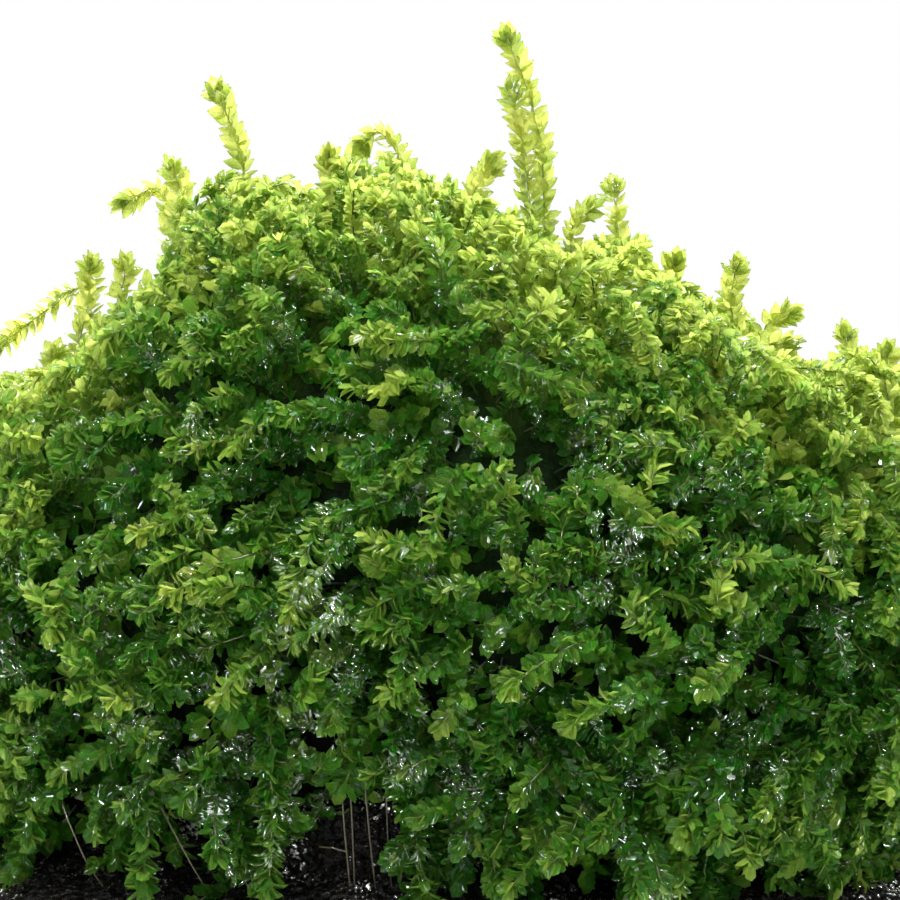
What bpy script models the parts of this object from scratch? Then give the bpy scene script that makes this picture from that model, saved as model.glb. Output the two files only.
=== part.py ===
"""Moss clump: a mound of leafy shoots grown over a pad of dark wet humus, cut off flat underneath.

Metres, +Z up, with the front at -Y. The origin is in the middle of the flat cut underside.
"""
import math
import random

import bmesh
import bpy
from mathutils import Vector, noise
from mathutils.bvhtree import BVHTree

MM = 0.001
TOUCH_GAP = 0.3 * MM

# Humus pad: half sizes of its foot, its rings from the foot up as (share of the foot, height),
# and the waves of its outline as (share of the foot, waves around, angle of the first)
PAD_HALF_WIDTH = 45 * MM
PAD_HALF_DEPTH = 32 * MM
PAD_RINGS = [(1.0, 0), (1.01, 6 * MM), (0.97, 12 * MM), (0.82, 17 * MM), (0.5, 20 * MM)]
PAD_TOP_HEIGHT = 21 * MM
PAD_SIDES = 26
PAD_LOBES = [(0.025, 3, 1), (0.018, 7, 0)]
PAD_LUMP = 2.5 * MM
PAD_LUMPS_AROUND = 4
PAD_LUMP_SPACING = 9 * MM

# Moss mound, without the tufts on it
MOUND_HALF_WIDTH = 51 * MM
MOUND_HALF_DEPTH = 37.5 * MM
MOUND_ROUNDNESS = 2.3
WAIST_HEIGHT = 19 * MM
CROWN_RISE = 41 * MM
FOOT_DROP = 26 * MM
MOUND_CUTS = 12
MOUND_SHIFT = 0.26
TUSSOCK_HEIGHT = 5 * MM
TUSSOCK_SPACING = 12 * MM

# Height of the crown from left to right, along the middle of the mound
CROWN_LINE = [
    (-46 * MM, 40.5 * MM), (-39 * MM, 43.5 * MM), (-34 * MM, 48 * MM), (-29 * MM, 56.5 * MM),
    (-24 * MM, 61 * MM), (-13 * MM, 60.5 * MM), (-7 * MM, 62 * MM), (1 * MM, 59.5 * MM),
    (12 * MM, 54.5 * MM), (21 * MM, 52 * MM), (30 * MM, 45 * MM), (37 * MM, 41 * MM),
    (42 * MM, 42.5 * MM), (46 * MM, 41 * MM),
]
CROWN_BAND = 26 * MM
CROWN_EVENING = 0.6

# The parting low in the front, where the pad shows between hanging shoots
PARTING_X = -8 * MM
PARTING_HALF_WIDTH = 8 * MM
PARTING_LIFT = 0.62

# Tufts fused to the mound, as rings of (share of the face they grow from, distance grown)
TUFT_RINGS = [(0.56, 2.0 * MM), (0.66, 4.8 * MM), (0.2, 6.9 * MM)]
TUFT_SPACING = 8.1 * MM
TUFT_ROOM = 5.4 * MM
TUFT_SEED = 7
TUFT_LEAN = 0.25
TUFT_DROOP = 0.45
TUFT_PAD_ROOM = 2.5 * MM
TUFT_TOP_ROOM = 4 * MM

# Short growth between the tufts, one low peak to a face
PEAK_LOW = 1.2 * MM
PEAK_HIGH = 3.6 * MM
PEAK_ROOM = 4.0 * MM

# Leader shoots: a square section turned on its corner, wide and thin, with a whorl of leaves each step
WHORL_STEP = 2.0 * MM
NECK_SHARE = 0.48
FLATNESS = 0.5
FOOT_SHARE = 0.8
TIP_SHARES = (0.7, 0.95)
ROOT_GAP = 0.45 * MM
ROOT_RISE = 1.8 * MM
SHOOT_LIFT = 2.8 * MM
OVERHANG_HEIGHT = 13 * MM
PATH_SHARES = (0, 0.35, 0.7, 1)
WELL_OUTSIDE = 0.2

# The three tables of shoots below are in millimetres.
# Shoots that stand on the crown: name, foot (x, y), points on the way up to the tip, half width
CROWN_SHOOTS = [
    ("tall_shoot", (8.5, 2.0), [(9.3, 2.0, 64), (9.0, 1.6, 68.5), (7.6, 1.2, 74), (5.3, 1, 79.6)], 1.6),
    ("tall_twin_shoot", (7.8, -2.0), [(7.6, -1.6, 64), (7.0, -1.4, 69), (5.8, -1.2, 74.2)], 1.5),
    ("left_spire", (-19.5, -2.0), [(-20.4, -2.5, 66.5), (-21.4, -3, 70), (-23.0, -3.5, 74.1)], 1.6),
    ("left_brow_shoot", (-25.4, -5.0), [(-26.1, -6, 63.5), (-27.1, -6.5, 66.3)], 1.7),
    ("stub_shoot", (-28.0, 11.0), [(-29.8, 12, 64), (-34.8, 12.5, 62.2)], 1.6),
    ("arching_shoot", (-35.5, 12.0), [(-38.6, 13, 53.8), (-42.3, 14, 51.6), (-48.4, 15, 47)], 1.5),
    ("left_knob", (-36.8, 6.5), [(-36.9, 7, 53), (-36.7, 7, 57)], 1.4),
    ("right_knob", (-32.6, 2.5), [(-32.9, 3, 54.5), (-32.6, 3, 57.2)], 1.4),
    ("shoulder_shoot", (-39.4, -5.0), [(-38.8, -6, 46.5), (-38.2, -6.5, 48.8)], 1.5),
    ("crown_hump", (-3.0, 7.0), [(-5.0, 7.5, 67), (-7.4, 8, 69.9), (-9.5, 8, 67.6)], 1.7),
    ("crown_bud", (-11.3, -5.0), [(-11.6, -6, 65.5), (-11.8, -6.5, 67.8)], 1.7),
    ("middle_shoot", (1.2, -6.0), [(2.3, -6.5, 63.5), (4.5, -7, 67.2)], 1.6),
    ("leaning_shoot", (11.0, 6.0), [(12.7, 6.5, 60.5), (15.0, 7, 62.6)], 1.4),
    ("broad_shoot", (17.5, 8.0), [(17.2, 9, 60), (16.7, 9.5, 65)], 2.1),
    ("low_bud", (21.3, -3.0), [(21.7, -4, 55.8), (22.0, -4.5, 57.2)], 1.5),
    ("right_spire", (27.4, -2.0), [(27.6, -3, 52.5), (28.1, -3.5, 57)], 1.7),
    ("upper_arm", (29.6, -7.0), [(30.4, -8.5, 50.8), (33.5, -9, 52.2)], 1.5),
    ("lower_arm", (28.4, -13.0), [(29.6, -14.8, 49.2), (32.5, -16, 49.4)], 1.5),
    ("right_hump_shoot", (41.5, 8.0), [(41.2, 8.5, 47), (40.6, 9, 49.8)], 2.0),
    ("right_edge_shoot", (43.2, -3.0), [(43.0, -3.5, 46.4), (42.8, -3.5, 48.8)], 1.5),
]

# Shoots that lie outward on the front: name, foot (x, height), tip (x, height), half width
FRONT_SHOOTS = [
    ("face_shoot_1", (-0.5, 45.5), (-7.5, 46.5), 1.7),
    ("face_shoot_2", (8.0, 44), (14.8, 43), 1.8),
    ("face_shoot_3", (13.5, 40.5), (19.4, 38), 1.7),
    ("face_shoot_4", (20.0, 35.5), (33, 34.5), 1.6),
    ("face_shoot_5", (-9.5, 26), (-1.5, 31.5), 1.7),
    ("face_shoot_6", (-24.5, 38), (-17.5, 43.5), 1.7),
    ("face_shoot_7", (26.0, 20), (34.5, 16.5), 1.8),
    ("face_shoot_8", (12.5, 29.5), (20, 27.5), 1.7),
    ("hanging_shoot_1", (-38.0, 33), (-37.5, 21), 1.6),
    ("hanging_shoot_2", (-37.0, 17.5), (-37.5, 6), 1.7),
    ("hanging_shoot_3", (-14.6, 18.5), (-15.6, 3.5), 1.7),
    ("hanging_shoot_4", (1.8, 18), (0.8, 4), 1.7),
    ("hanging_shoot_5", (-26.0, 17), (-26.6, 3), 1.6),
    ("hanging_shoot_6", (22.5, 17.5), (32.0, 6), 1.8),
]

# Shoots on the sides and the back: two belts of them, as (heights of foot and tip, compass angles)
BELTS = [
    ("upper_belt", 40, 45, [15, 52, 85, 118, 158]),
    ("lower_belt", 22, 12, [-8, 30, 65, 98, 130, 165, 192]),
]
BELT_SWING = 5
BELT_HALF_WIDTH = 1.7


def clear_scene():
    for thing in list(bpy.data.objects):
        bpy.data.objects.remove(thing)


def material(name, colour, roughness):
    made = bpy.data.materials.new(name)
    made.use_nodes = True
    shader = made.node_tree.nodes["Principled BSDF"]
    shader.inputs["Base Color"].default_value = (*colour, 1)
    shader.inputs["Roughness"].default_value = roughness
    shader.inputs["Metallic"].default_value = 0
    made.diffuse_color = (*colour, 1)
    return made


def humus_material():
    return material("wet_humus", (0.020, 0.018, 0.012), 0.25)


def moss_material():
    return material("moss_green", (0.045, 0.110, 0.012), 0.35)


def young_moss_material():
    return material("young_moss", (0.270, 0.420, 0.060), 0.35)


def object_from(name, bm, surface):
    mesh = bpy.data.meshes.new(name)
    bmesh.ops.recalc_face_normals(bm, faces=bm.faces)
    bm.to_mesh(mesh)
    bm.free()
    mesh.materials.append(surface)
    made = bpy.data.objects.new(name, mesh)
    bpy.context.collection.objects.link(made)
    return made


def smooth_step(share):
    share = min(max(share, 0), 1)
    return share * share * (3 - 2 * share)


def pad_reach(angle, grow):
    """Distance of the pad's outline from its middle at a compass angle, let out by grow."""
    along = abs(math.cos(angle) / (PAD_HALF_WIDTH + grow)) ** MOUND_ROUNDNESS
    across = abs(math.sin(angle) / (PAD_HALF_DEPTH + grow)) ** MOUND_ROUNDNESS
    wave = 1 + sum(height * math.sin(count * angle + start) for height, count, start in PAD_LOBES)
    return wave * (along + across) ** (-1 / MOUND_ROUNDNESS)


def pad_bmesh(grow, rings):
    """The pad let out by grow all over, from its lowest ring to its top."""
    bm = bmesh.new()
    for share, height in rings:
        ring = bmesh.ops.create_circle(bm, segments=PAD_SIDES, radius=1)["verts"]
        for vert in ring:
            outward = vert.co.copy()
            reach = share * pad_reach(math.atan2(outward.y, outward.x), grow)
            vert.co = outward * reach
            vert.co.z = height
            if height > 0:
                spot = outward * PAD_LUMPS_AROUND + Vector((0, 0, share + height / PAD_LUMP_SPACING))
                vert.co += outward * PAD_LUMP * noise.noise(spot)
                vert.co.z += grow
    walls = bmesh.ops.bridge_loops(bm, edges=bm.edges[:])["faces"]
    bmesh.ops.triangulate(bm, faces=walls, quad_method="SHORT_EDGE")
    bm.verts.ensure_lookup_table()
    top_ring = bm.verts[-PAD_SIDES:]
    middle = bm.verts.new((0, 0, PAD_TOP_HEIGHT + grow))
    for here, there in zip(top_ring, top_ring[1:] + top_ring[:1]):
        bm.faces.new((here, there, middle))
    bmesh.ops.contextual_create(bm, geom=bm.verts[:PAD_SIDES])
    return bm


def crown_height(x):
    """Height of the crown line at x, eased from point to point."""
    x = min(max(x, CROWN_LINE[0][0]), CROWN_LINE[-1][0])
    for (left, low), (right, high) in zip(CROWN_LINE, CROWN_LINE[1:]):
        if x <= right:
            return low + (high - low) * smooth_step((x - left) / (right - left))
    return CROWN_LINE[-1][1]


def crown_lift(x, y):
    """How much higher the mound is than an even dome, near the middle of its depth."""
    inner = min(abs(x), abs(CROWN_LINE[0][0]))
    even = CROWN_RISE * (1 - (inner / MOUND_HALF_WIDTH) ** MOUND_ROUNDNESS) ** (1 / MOUND_ROUNDNESS)
    lift = (crown_height(x) - WAIST_HEIGHT) / even
    return 1 + (lift - 1) * (1 - CROWN_EVENING * smooth_step(abs(y) / CROWN_BAND))


def parting(x, y):
    """How much of the foot is left at the parting in the front."""
    aside = (x - PARTING_X) / PARTING_HALF_WIDTH
    return 1 - PARTING_LIFT * math.exp(-aside * aside) * smooth_step(-y / MOUND_HALF_DEPTH)


def mound_point(direction):
    """Where the mound's surface lies from the middle of its waist, along a unit direction."""
    rise = CROWN_RISE if direction.z > 0 else FOOT_DROP
    halves = (MOUND_HALF_WIDTH, MOUND_HALF_DEPTH, rise)
    power = MOUND_ROUNDNESS
    reach = sum(abs(along / half) ** power for along, half in zip(direction, halves)) ** (-1 / power)
    point = direction * reach
    point.z *= crown_lift(point.x, point.y) if direction.z > 0 else parting(point.x, point.y)
    point += direction * TUSSOCK_HEIGHT * noise.noise(point / TUSSOCK_SPACING)
    point.z += WAIST_HEIGHT
    return point


def mound_bmesh():
    """The closed mound as even four-sided faces, a cube's grid let out to the mound's surface."""
    bm = bmesh.new()
    bmesh.ops.create_cube(bm, size=2)
    bmesh.ops.subdivide_edges(bm, edges=bm.edges[:], cuts=MOUND_CUTS, use_grid_fill=True)
    draw = random.Random(TUFT_SEED)
    face_size = math.pi / 2 / (MOUND_CUTS + 1)
    for vert in bm.verts:
        spread = Vector([math.tan(along * math.pi / 4) for along in vert.co]).normalized()
        shift = Vector([draw.uniform(-1, 1) for _ in range(3)]) * face_size * MOUND_SHIFT
        vert.co = mound_point((spread + shift).normalized())
    bmesh.ops.recalc_face_normals(bm, faces=bm.faces)
    return bm


def outside_pad(point):
    """Whether a point stands well clear of the pad, sideways or above."""
    angle = math.atan2(point.y, point.x)
    aside = math.hypot(point.x, point.y) - pad_reach(angle, 0)
    return aside > TUFT_PAD_ROOM or point.z > PAD_TOP_HEIGHT + TUFT_TOP_ROOM


def growth_direction(place, normal):
    """Tufts lean outward, and droop low on the mound."""
    outward = Vector((place.x, place.y, 0)).normalized()
    droop = TUFT_DROOP * (1 - smooth_step(place.z / (2 * WAIST_HEIGHT)))
    return (normal + TUFT_LEAN * outward - Vector((0, 0, droop))).normalized()


def grow_tuft(bm, face, growth):
    """Extrude one face of the mound ring by ring into a tuft: a neck, a head of leaves and a tip."""
    root = face.calc_center_median()
    spokes = [vert.co - root for vert in face.verts]
    for share, grown in TUFT_RINGS:
        face = bmesh.ops.extrude_discrete_faces(bm, faces=[face])["faces"][0]
        for vert, spoke in zip(face.verts, spokes):
            vert.co = root + spoke * share + growth * grown


def near_any(spots, points, room):
    return any((spot - point).length < room for spot in spots for point in points)


def add_tufts(bm, kept_clear):
    """Tufts and low peaks over the whole outside, clear of the leader shoots."""
    draw = random.Random(TUFT_SEED)
    faces = [face for face in bm.faces if outside_pad(face.calc_center_median())]
    draw.shuffle(faces)
    taken = []
    peaks = []
    for face in faces:
        place = face.calc_center_median()
        growth = growth_direction(place, face.normal)
        reached = [place] + [place + growth * grown for _, grown in TUFT_RINGS]
        crowded = near_any([place], taken, TUFT_SPACING)
        if not crowded and not near_any(reached, kept_clear, TUFT_ROOM):
            taken.append(place)
            grow_tuft(bm, face, growth)
        elif not near_any([place], kept_clear, PEAK_ROOM):
            peaks.append((face, growth))
    for face, growth in peaks:
        top = bmesh.ops.poke(bm, faces=[face])["verts"][0]
        top.co += growth * draw.uniform(PEAK_LOW, PEAK_HIGH)


def surface_at(surface, place, outward):
    """The mound's surface and its normal where a straight line from well outside meets it."""
    spot, normal, _, _ = surface.ray_cast(place + outward * WELL_OUTSIDE, -outward)
    return spot, normal


def smooth_path(points, step):
    """Points about a step apart on a smooth curve through the given points."""
    ends = [2 * points[0] - points[1]] + points + [2 * points[-1] - points[-2]]
    path = []
    for before, start, end, after in zip(ends, ends[1:], ends[2:], ends[3:]):
        pieces = max(1, round((end - start).length / step))
        for piece in range(pieces):
            t = piece / pieces
            bend = 2 * before - 5 * start + 4 * end - after
            twist = 3 * start - before - 3 * end + after
            path.append(start + 0.5 * ((end - before) * t + bend * t * t + twist * t ** 3))
    path.append(points[-1])
    return path


def crown_path(surface, foot, points):
    """A path that leaves the mound square to it under its foot (x, y), then runs through the points."""
    place = Vector((*foot, 0)) * MM
    root, normal = surface_at(surface, place, Vector((0, 0, 1)))
    return [root + normal * ROOT_GAP, root + normal * ROOT_RISE] + [Vector(point) * MM for point in points]


def lying_path(surface, feet, outward):
    """A path that leaves the mound at its first foot, rises off it and runs over the others."""
    spots = []
    for place in feet:
        higher = Vector((place.x, place.y, max(place.z, OVERHANG_HEIGHT)))
        spot, normal = surface_at(surface, higher, outward)
        if place.z < OVERHANG_HEIGHT:
            spot.z = place.z
            normal = outward
        spots.append((spot, normal))
    root, root_normal = spots[0]
    lifted = [spot + normal * SHOOT_LIFT for spot, normal in spots[1:]]
    return [root + root_normal * ROOT_GAP, root + root_normal * ROOT_RISE] + lifted


def front_path(surface, foot, tip):
    """From foot to tip on the front, each given as (x, height)."""
    start = Vector((foot[0], 0, foot[1])) * MM
    end = Vector((tip[0], 0, tip[1])) * MM
    return lying_path(surface, [start.lerp(end, share) for share in PATH_SHARES], Vector((0, -1, 0)))


def belt_path(surface, outward, foot_height, tip_height, swing):
    """Round the mound by swing, from the foot's height to the tip's."""
    start = Vector((0, 0, foot_height * MM))
    end = Vector((0, 0, 1)).cross(outward) * swing * MM + Vector((0, 0, tip_height * MM))
    return lying_path(surface, [start.lerp(end, share) for share in PATH_SHARES], outward)


def leader_paths(surface):
    """Name, points, facing direction and half width of every leader shoot."""
    leaders = []
    for name, foot, points, half_width in CROWN_SHOOTS:
        leaders.append((name, crown_path(surface, foot, points), Vector((0, -1, 0)), half_width * MM))
    for name, foot, tip, half_width in FRONT_SHOOTS:
        leaders.append((name, front_path(surface, foot, tip), Vector((0, -1, 0)), half_width * MM))
    for belt, foot_height, tip_height, angles in BELTS:
        for number, angle in enumerate(angles, 1):
            facing = Vector((math.cos(math.radians(angle)), math.sin(math.radians(angle)), 0))
            swing = BELT_SWING if number % 2 else -BELT_SWING
            points = belt_path(surface, facing, foot_height, tip_height, swing)
            leaders.append((f"{belt}_shoot_{number}", points, facing, BELT_HALF_WIDTH * MM))
    return leaders


def leader_bmesh(points, facing, half_width):
    """A shoot as a closed flat spindle: a narrow ring and a wide one for each whorl of leaves."""
    path = smooth_path(points, WHORL_STEP / 2)
    bm = bmesh.new()
    bmesh.ops.create_circle(bm, cap_ends=True, segments=4, radius=1)
    face = bm.faces[:][0]
    corners = [vert.co.copy() for vert in face.verts]
    for number, place in enumerate(path):
        ahead = path[min(number + 1, len(path) - 1)]
        behind = path[max(number - 1, 0)]
        forward = (ahead - behind).normalized()
        side = forward.cross(facing).normalized()
        thick = side.cross(forward)
        left = len(path) - 1 - number
        share = 1 if number % 2 else NECK_SHARE
        if number == 0:
            share = FOOT_SHARE * NECK_SHARE
        if left < len(TIP_SHARES):
            share = TIP_SHARES[left]
        width = half_width * share
        if number:
            face = bmesh.ops.extrude_discrete_faces(bm, faces=[face])["faces"][0]
        for vert, corner in zip(face.verts, corners):
            vert.co = place + side * corner.x * width + thick * corner.y * width * FLATNESS
    bmesh.ops.holes_fill(bm, edges=bm.edges)
    return bm


def main():
    clear_scene()
    green = moss_material()
    young = young_moss_material()
    humus = humus_material()
    object_from("humus_pad", pad_bmesh(0, PAD_RINGS), humus)
    mound = mound_bmesh()
    surface = BVHTree.FromBMesh(mound)
    leaders = leader_paths(surface)
    kept_clear = []
    for _, points, _, _ in leaders:
        kept_clear += smooth_path(points, WHORL_STEP)
    add_tufts(mound, kept_clear)
    cushion = object_from("moss_cushion", mound, green)
    below_foot = (PAD_RINGS[0][0], -FOOT_DROP)
    cutter = object_from("pad_room", pad_bmesh(TOUCH_GAP, [below_foot] + PAD_RINGS), humus)
    cutter.hide_render = True
    cutter.display_type = "WIRE"
    hollow = cushion.modifiers.new("pad_room", "BOOLEAN")
    hollow.operation = "DIFFERENCE"
    hollow.object = cutter
    for name, points, facing, half_width in leaders:
        object_from(name, leader_bmesh(points, facing, half_width), young)


main()
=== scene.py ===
# Moss clump: leafy shoots, old growth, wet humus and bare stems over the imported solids. Metres, front at -Y.
import math

import bmesh
import bpy
import numpy as np
from mathutils import Matrix, Vector, noise
from mathutils.bvhtree import BVHTree
from mathutils.kdtree import KDTree


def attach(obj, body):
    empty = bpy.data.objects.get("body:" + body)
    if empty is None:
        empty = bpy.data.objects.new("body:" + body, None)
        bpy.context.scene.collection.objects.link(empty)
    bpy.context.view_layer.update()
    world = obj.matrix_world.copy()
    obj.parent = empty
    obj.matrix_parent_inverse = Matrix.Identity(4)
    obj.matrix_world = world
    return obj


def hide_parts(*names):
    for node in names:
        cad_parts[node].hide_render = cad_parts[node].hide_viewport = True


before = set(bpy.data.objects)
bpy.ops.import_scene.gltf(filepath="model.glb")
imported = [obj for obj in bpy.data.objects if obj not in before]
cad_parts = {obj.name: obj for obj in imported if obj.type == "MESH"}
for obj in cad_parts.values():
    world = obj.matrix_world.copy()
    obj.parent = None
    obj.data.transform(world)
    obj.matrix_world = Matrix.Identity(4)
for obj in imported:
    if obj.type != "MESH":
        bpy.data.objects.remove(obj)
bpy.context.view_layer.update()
mm = 0.001
draw = np.random.default_rng(11)


def unit(vectors):
    return vectors / np.maximum(np.linalg.norm(vectors, axis=-1, keepdims=True), 1e-9)


def ease(low, high, value):
    # Rises smoothly from 0 to 1 between the two limits
    share = np.clip((value - low) / (high - low), 0, 1)
    return share * share * (3 - 2 * share)


def mergedCopy(node):
    bm = bmesh.new()
    bm.from_mesh(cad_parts[node].data)
    bmesh.ops.remove_doubles(bm, verts=bm.verts, dist=0.001 * mm)  # a CAD mesh is loose triangles
    return bm


def linked(name, data):
    thing = bpy.data.objects.new(name, data)
    bpy.context.collection.objects.link(thing)
    return thing


def pieceFrom(name, bm, material):
    mesh = bpy.data.meshes.new(name)
    bm.to_mesh(mesh)
    bm.free()
    mesh.materials.append(material)
    mesh.shade_smooth()
    return linked(name, mesh)


def newMaterial(name):
    material = bpy.data.materials.new(name)
    material.use_nodes = True
    material.node_tree.nodes.clear()
    return material, material.node_tree


def newGroup(name, takes, gives):
    # A shader node group with its named sockets and their kinds
    group = bpy.data.node_groups.new(name, "ShaderNodeTree")
    for way, sockets in (("INPUT", takes), ("OUTPUT", gives)):
        for label, kind in sockets.items():
            group.interface.new_socket(label, in_out=way, socket_type="NodeSocket" + kind)
    return group, group.nodes.new("NodeGroupInput").outputs, group.nodes.new("NodeGroupOutput").inputs


def feed(socket, value):
    # Another node's output is linked to the socket; a number, place or colour is set on it
    if isinstance(value, bpy.types.NodeSocket):
        socket.id_data.links.new(value, socket)  # id_data of a socket is the tree it is in
    else:
        socket.default_value = (*value, 1) if socket.type == "RGBA" else value


def addNode(tree, kind, inputs=None, **settings):
    node = tree.nodes.new("ShaderNode" + kind)
    for key, value in settings.items():
        setattr(node, key, value)
    for key, value in (inputs or {}).items():
        feed(node.inputs[key], value)
    return node


def objectPlace(tree):
    return addNode(tree, "TexCoord").outputs["Object"]


def attribute(tree, name):
    return addNode(tree, "Attribute", attribute_name=name).outputs["Fac"]


def axesOf(place):
    return addNode(place.id_data, "SeparateXYZ", {0: place}).outputs


def addRamp(source, *stops):
    ramp = addNode(source.id_data, "ValToRGB", {"Fac": source})
    elements = ramp.color_ramp.elements
    while len(elements) < len(stops):
        elements.new(0.5)
    for element, (place, colour) in zip(elements, stops):
        element.position = place
        element.color = (*colour, 1)
    return ramp.outputs["Color"]


def addMix(share, under, over, blend="MIX"):
    colours = {0: share, 6: under, 7: over}  # the sockets that a mix of colours uses
    return addNode(share.id_data, "Mix", colours, data_type="RGBA", blend_type=blend).outputs[2]


def addMath(operation, *values, clamp=False):
    inputs = dict(enumerate(values))
    return addNode(values[0].id_data, "Math", inputs, operation=operation, use_clamp=clamp).outputs[0]


def plus(first, second, clamp=False):
    return addMath("ADD", first, second, clamp=clamp)


def times(first, second):
    return addMath("MULTIPLY", first, second)


def addRange(value, *limits):
    # Carries the first two limits over to the last two
    return addNode(value.id_data, "MapRange", dict(enumerate((value, *limits)))).outputs["Result"]


def addNoise(place, scale, detail=3, roughness=0.55):
    return addNode(place.id_data, "TexNoise", {
        "Vector": place, "Scale": scale, "Detail": detail, "Roughness": roughness}).outputs["Fac"]


def addBump(height, strength, distance):
    return addNode(height.id_data, "Bump", {
        "Height": height, "Strength": strength, "Distance": distance}).outputs["Normal"]


def toSurface(shader, output="OutputMaterial"):
    addNode(shader.id_data, output, {"Surface": shader.outputs[0]})


def leafPlaces(tree):
    # Place on a leaf from its own map: from side to side, off the rib, along the blade, near the rim
    side, along, _ = axesOf(addNode(tree, "UVMap", uv_map="leafMap").outputs["UV"])
    across = addMath("ABSOLUTE", addMath("SUBTRACT", side, 0.5))
    edge = addRange(across, 0.35, 0.47, 0, 1)
    rim = addMath("MAXIMUM", edge, addRange(along, 0.86, 0.97, 0, 1))
    return side, across, along, rim


glints = {
    # the wettest spots: middle, where the wet begins to fade and where it ends, in millimetres, and its gain
    "spots": (((-14, -36, 13), 5, 20, 0.07), ((10, -38, 38), 3, 14, 0.08), ((-11, -40, 27), 2, 13, 0.05)),
    "clusters": (0.32, 0.68, -0.2, 0.13), "threshold": (0.66, 0.74), "share": 0.002,
    "onLeaf": (3.9, 250), "onGround": (2300, 140),  # fineness and scale of the clusters
}


def wetGlintGroup():
    # Beads and runs of water in clusters, drawn in the places that the material gives
    tree, given, put = newGroup("wetGlint", {
        "Share": "Float", "Fineness": "Float", "Clusters": "Float", "Place": "Vector"}, {"Glint": "Float"})
    place = objectPlace(tree)
    beads = addNoise(given["Place"], given["Fineness"], 1, 0.5)
    wet = addRange(addNoise(place, given["Clusters"], 2, 0.5), *glints["clusters"])
    for spot, near, far, gain in glints["spots"]:
        gap = addNode(tree, "VectorMath", {0: place, 1: Vector(spot) * mm}, operation="DISTANCE")
        wet = plus(wet, addRange(gap.outputs["Value"], near * mm, far * mm, gain, 0))
    wet = plus(wet, plus(beads, given["Share"]))
    feed(put["Glint"], addRange(wet, *glints["threshold"], 0, 1))
    return tree


def leafPatternGroup():
    # Colour and relief of one moss leaf: rib, folds, rim, specks, age and a tint of its own
    tree, given, put = newGroup(
        "leafPattern", dict.fromkeys(("Young", "Grown", "Old", "Dead", "Rim"), "Color"),
        {"Colour": "Color", "Roughness": "Float", "Coat": "Float", "Relief": "Float"})
    place = objectPlace(tree)
    side, across, along, rim = leafPlaces(tree)
    tint = attribute(tree, "tint")
    age = attribute(tree, "age")
    patches = addNoise(place, 160, 2)
    mottle = addNoise(place, 850, 3, 0.65)
    buckle = addNoise(place, 1500, 1)
    crinkle = addNoise(place, 3200, 2)
    fleck = addNoise(place, 5000, 3, 0.7)

    # a leaf is a little older or younger in places, and young leaves less unevenly so
    mixed = plus(plus(times(tint, 0.3), times(patches, 0.3)), times(mottle, 0.4))
    uneven = times(addRange(mixed, 0.3, 0.7, -1, 1), addRange(age, 0, 0.4, 0.07, 0.2))
    ageNow = plus(age, uneven, clamp=True)
    greening = addMath("POWER", addRange(ageNow, 0, 0.45, 0, 1), 0.65)
    young = addMix(greening, given["Young"], given["Grown"])
    aged = addMix(addRange(ageNow, 0.42, 0.95, 0, 1), young, given["Old"])
    dying = times(addRange(tint, 0.93, 0.97, 0, 1), addRange(age, 0.2, 0.6, 0, 0.8))
    base = addMix(dying, aged, given["Dead"])
    wear = addRange(ageNow, 0, 0.5, 0.25, 1)

    # paler rib, fading before the tip, and folds along the blade
    rib = times(addRange(across, 0.02, 0.1, 1, 0), addRange(along, 0.45, 0.92, 1, 0))
    stretched = addNode(tree, "CombineXYZ", {"X": plus(side, tint), "Y": times(along, 0.35)})
    folds = addNode(tree, "TexWave", {
        "Vector": stretched.outputs[0], "Scale": 1.25, "Distortion": 2.2, "Detail": 1,
        "Detail Scale": 1.5}).outputs["Fac"]
    withRib = addMix(times(rib, 0.36), base, (0.26, 0.42, 0.05))
    withFolds = addMix(times(times(folds, 0.85), wear), withRib, (0.3, 0.42, 0.26), "MULTIPLY")
    # the rim's colour is painted light: a pale painted highlight of the wet edge on moss leaves, painted shade
    # of the edge seen side-on on crown leaves
    withRim = addMix(times(rim, 0.7), withFolds, given["Rim"])
    # the leaf's root: yellower on a young leaf, and dark on an old one, which is painted shade where it sits
    # inside the shoot
    root = addMix(ageNow, (0.36, 0.46, 0.06), (0.03, 0.07, 0.004))
    fromRoot = addMix(addRange(along, 0.02, 0.45, 0.42, 0), withRim, root)
    specks = times(addRange(fleck, 0.42, 0.6, 0, 0.9), wear)
    feed(put["Colour"], addMix(specks, fromRoot, (0.18, 0.3, 0.16), "MULTIPLY"))

    relief = times(rib, -0.5)
    for height, share in ((fleck, 0.8), (folds, 0.5), (crinkle, 1), (buckle, 3), (rim, 0.7)):
        relief = plus(relief, times(height, share))
    feed(put["Relief"], relief)
    wetter = addRange(axesOf(place)["Z"], 45 * mm, 10 * mm, 0, 0.07)  # toward the ground
    drops = plus(addNoise(place, 420, 2), wetter)
    feed(put["Roughness"], addRange(drops, 0.4, 0.58, 0.42, 0.16))
    feed(put["Coat"], addRange(drops, 0.46, 0.64, 0, 0.6))
    return tree


leafPattern = leafPatternGroup()
wetGlint = wetGlintGroup()


def addGlint(place, fineness, clusters):
    return addNode(place.id_data, "Group", {
        "Place": place, "Share": glints["share"], "Fineness": fineness, "Clusters": clusters},
        node_tree=wetGlint).outputs["Glint"]


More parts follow.
